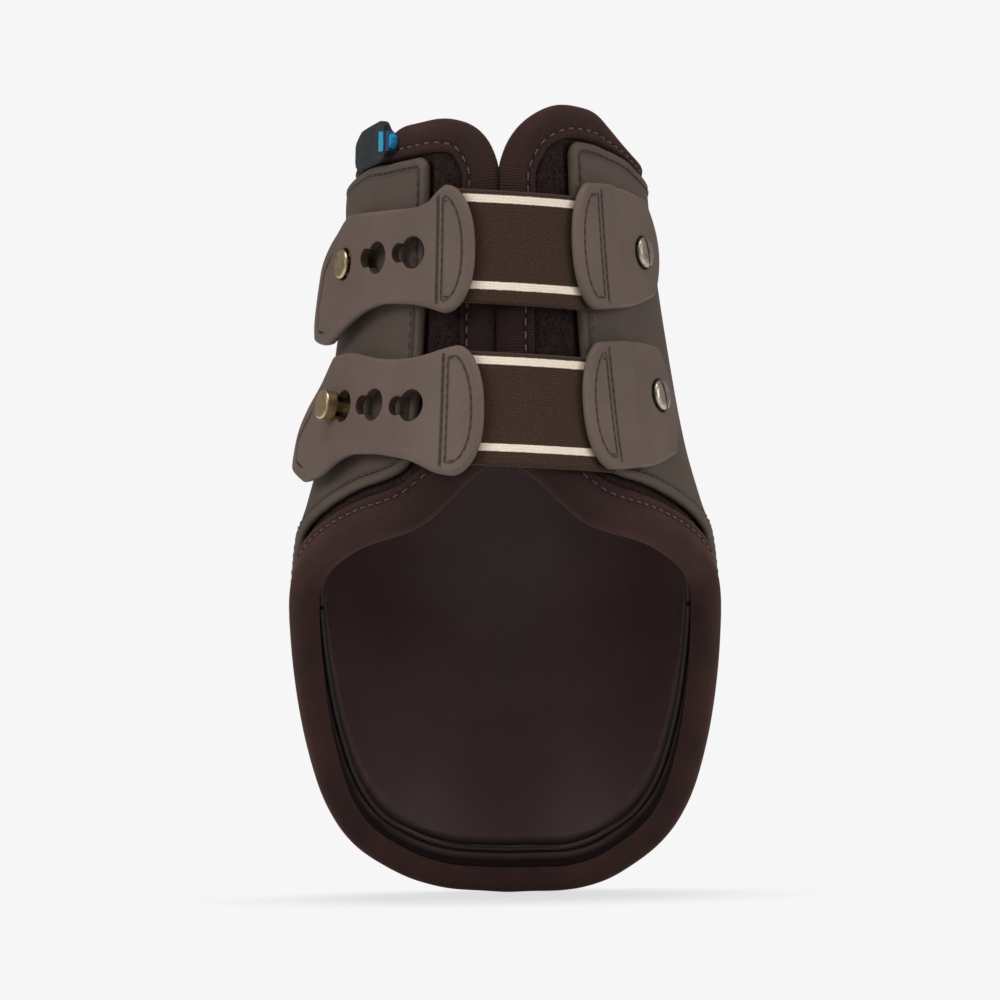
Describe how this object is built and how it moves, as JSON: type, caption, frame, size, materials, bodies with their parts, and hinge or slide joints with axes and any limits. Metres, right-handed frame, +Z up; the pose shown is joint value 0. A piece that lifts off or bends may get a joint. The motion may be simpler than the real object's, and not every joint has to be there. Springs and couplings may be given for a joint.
{
  "type": "fetlock boot",
  "caption": "Padded hind fetlock boot with a moulded shell, rolled edge binding, open cup and two elastic straps whose keyhole tabs close over brass studs.",
  "frame": {"origin": "on the leg's axis, level with the lowest point of the cup's edge", "axes": "+Z up along the leg, the strapped front faces -Y, +X towards the anchor tabs"},
  "size_m": [0.1076, 0.1255, 0.1969],
  "materials": {
    "moulded_shell": "matt moulded polyurethane, taupe brown",
    "moulded_tab": "matt moulded polyurethane, taupe brown",
    "spacer_mesh": "knitted spacer mesh, dark brown",
    "foam": "closed-cell foam, hidden",
    "lining": "smooth coated lining, near-black brown",
    "binding": "ribbed stretch binding, maroon brown",
    "elastic": "woven elastic webbing, dark brown with two cream stripes",
    "thread": "twisted polyester thread, brown",
    "brass": "polished brass, lightly worn",
    "nickel": "warm nickel plate, lightly worn",
    "steel": "plain zinc-plated steel, hidden",
    "label": "woven label cloth, slate grey with blue stripes"
  },
  "bodies": {
    "boot": {"inner_lining": "lining", "foam_core": "foam", "spacer_mesh": "spacer_mesh", "outer_shell": "moulded_shell", "edge_binding": "binding", "cup_welt": "lining", "size_label": "label", "upper_anchor_tab": "moulded_tab", "upper_anchor_stitching": "thread", "upper_stud": "brass", "upper_stud_washer": "steel", "upper_screw_post": "steel", "upper_anchor_screw": "nickel", "lower_anchor_tab": "moulded_tab", "lower_anchor_stitching": "thread", "lower_stud": "brass", "lower_stud_washer": "steel", "lower_screw_post": "steel", "lower_anchor_screw": "nickel"},
    "upper_strap": {"upper_elastic": "elastic"},
    "upper_tab": {"upper_keyhole_tab": "moulded_tab", "upper_tab_stitching": "thread"},
    "lower_strap": {"lower_elastic": "elastic"},
    "lower_tab": {"lower_keyhole_tab": "moulded_tab", "lower_tab_stitching": "thread"}
  },
  "joints": [
    {"name": "upper_strap_swing", "type": "hinge", "parent": "boot", "child": "upper_strap", "pos_m": [0.01578, -0.04115, 0.16211], "axis": [0, 0, 1], "range_deg": [0, 150], "deforming": ["upper_elastic"]},
    {"name": "upper_elastic_stretch", "type": "hinge", "parent": "upper_strap", "child": "upper_tab", "pos_m": [0.0185, 0.00989, 0.1617], "axis": [0, 0, -1], "range_deg": [0, 4.94], "stiffness_Nm_per_rad": 4, "deforming": ["upper_elastic"]},
    {"name": "lower_strap_swing", "type": "hinge", "parent": "boot", "child": "lower_strap", "pos_m": [0.01787, -0.04711, 0.1221], "axis": [0, 0, 1], "range_deg": [0, 150], "deforming": ["lower_elastic"]},
    {"name": "lower_elastic_stretch", "type": "hinge", "parent": "lower_strap", "child": "lower_tab", "pos_m": [0.01485, 0.00697, 0.12131], "axis": [0, 0, -1], "range_deg": [0, 4.88], "stiffness_Nm_per_rad": 4, "deforming": ["lower_elastic"]}
  ]
}
